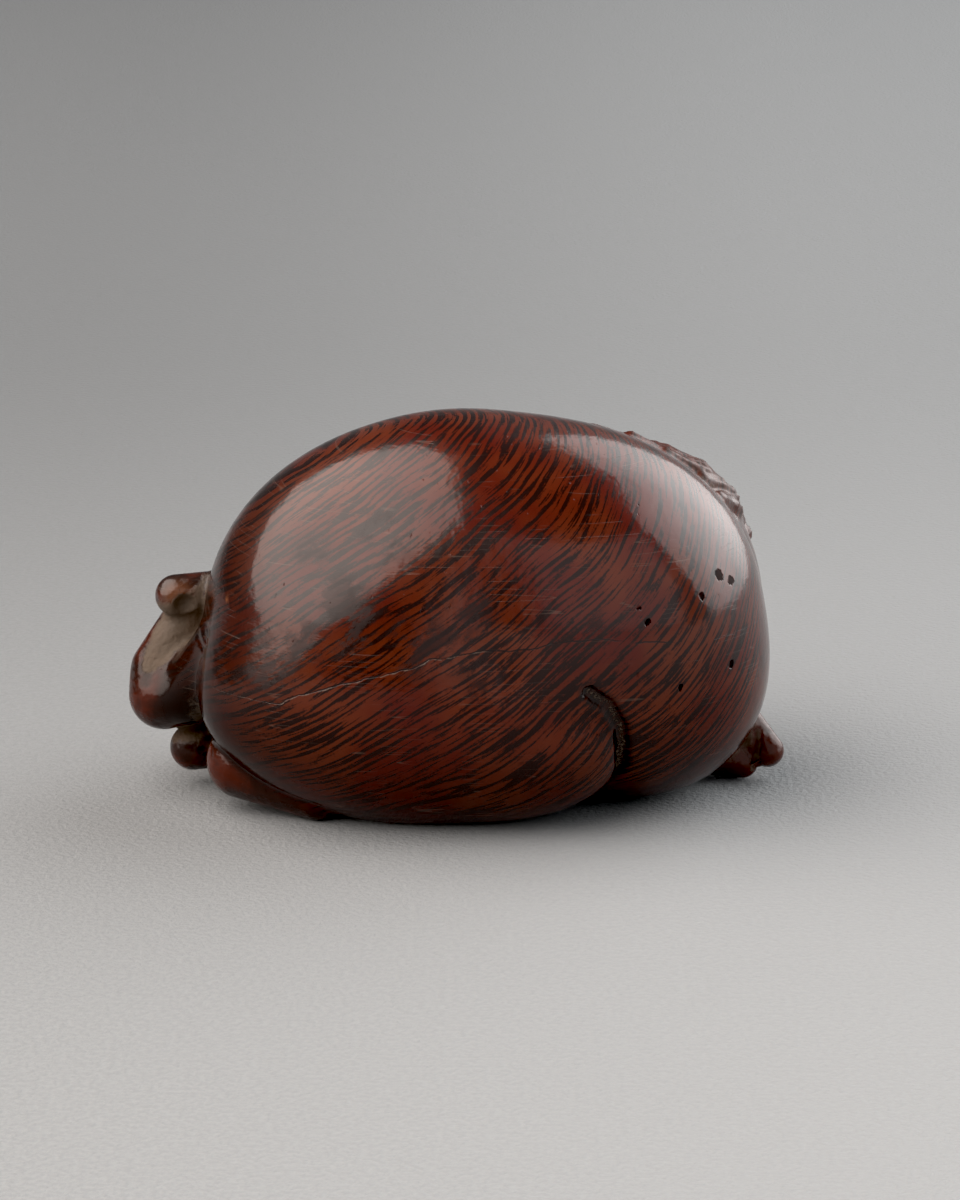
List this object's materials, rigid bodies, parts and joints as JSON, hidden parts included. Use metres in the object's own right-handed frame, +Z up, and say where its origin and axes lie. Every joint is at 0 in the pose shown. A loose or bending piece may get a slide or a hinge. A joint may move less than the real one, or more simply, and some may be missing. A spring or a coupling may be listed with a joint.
{
  "type": "netsuke",
  "caption": "Carved wooden netsuke of a curled, sleeping boar, a palm-sized toggle with a channel for its cord in the underside.",
  "frame": {"origin": "middle of the footprint, on the surface that the netsuke rests on", "axes": "+X from the rump to the shoulder, +Y from the smooth back side to the side with the head, +Z up"},
  "size_m": [0.0447, 0.0289, 0.0264],
  "materials": {
    "dark_red_wood": "dense red-brown wood with dark streaks, polished by handling, with dust in the recesses"
  },
  "bodies": {
    "root": {"boar": "dark_red_wood"}
  },
  "joints": []
}
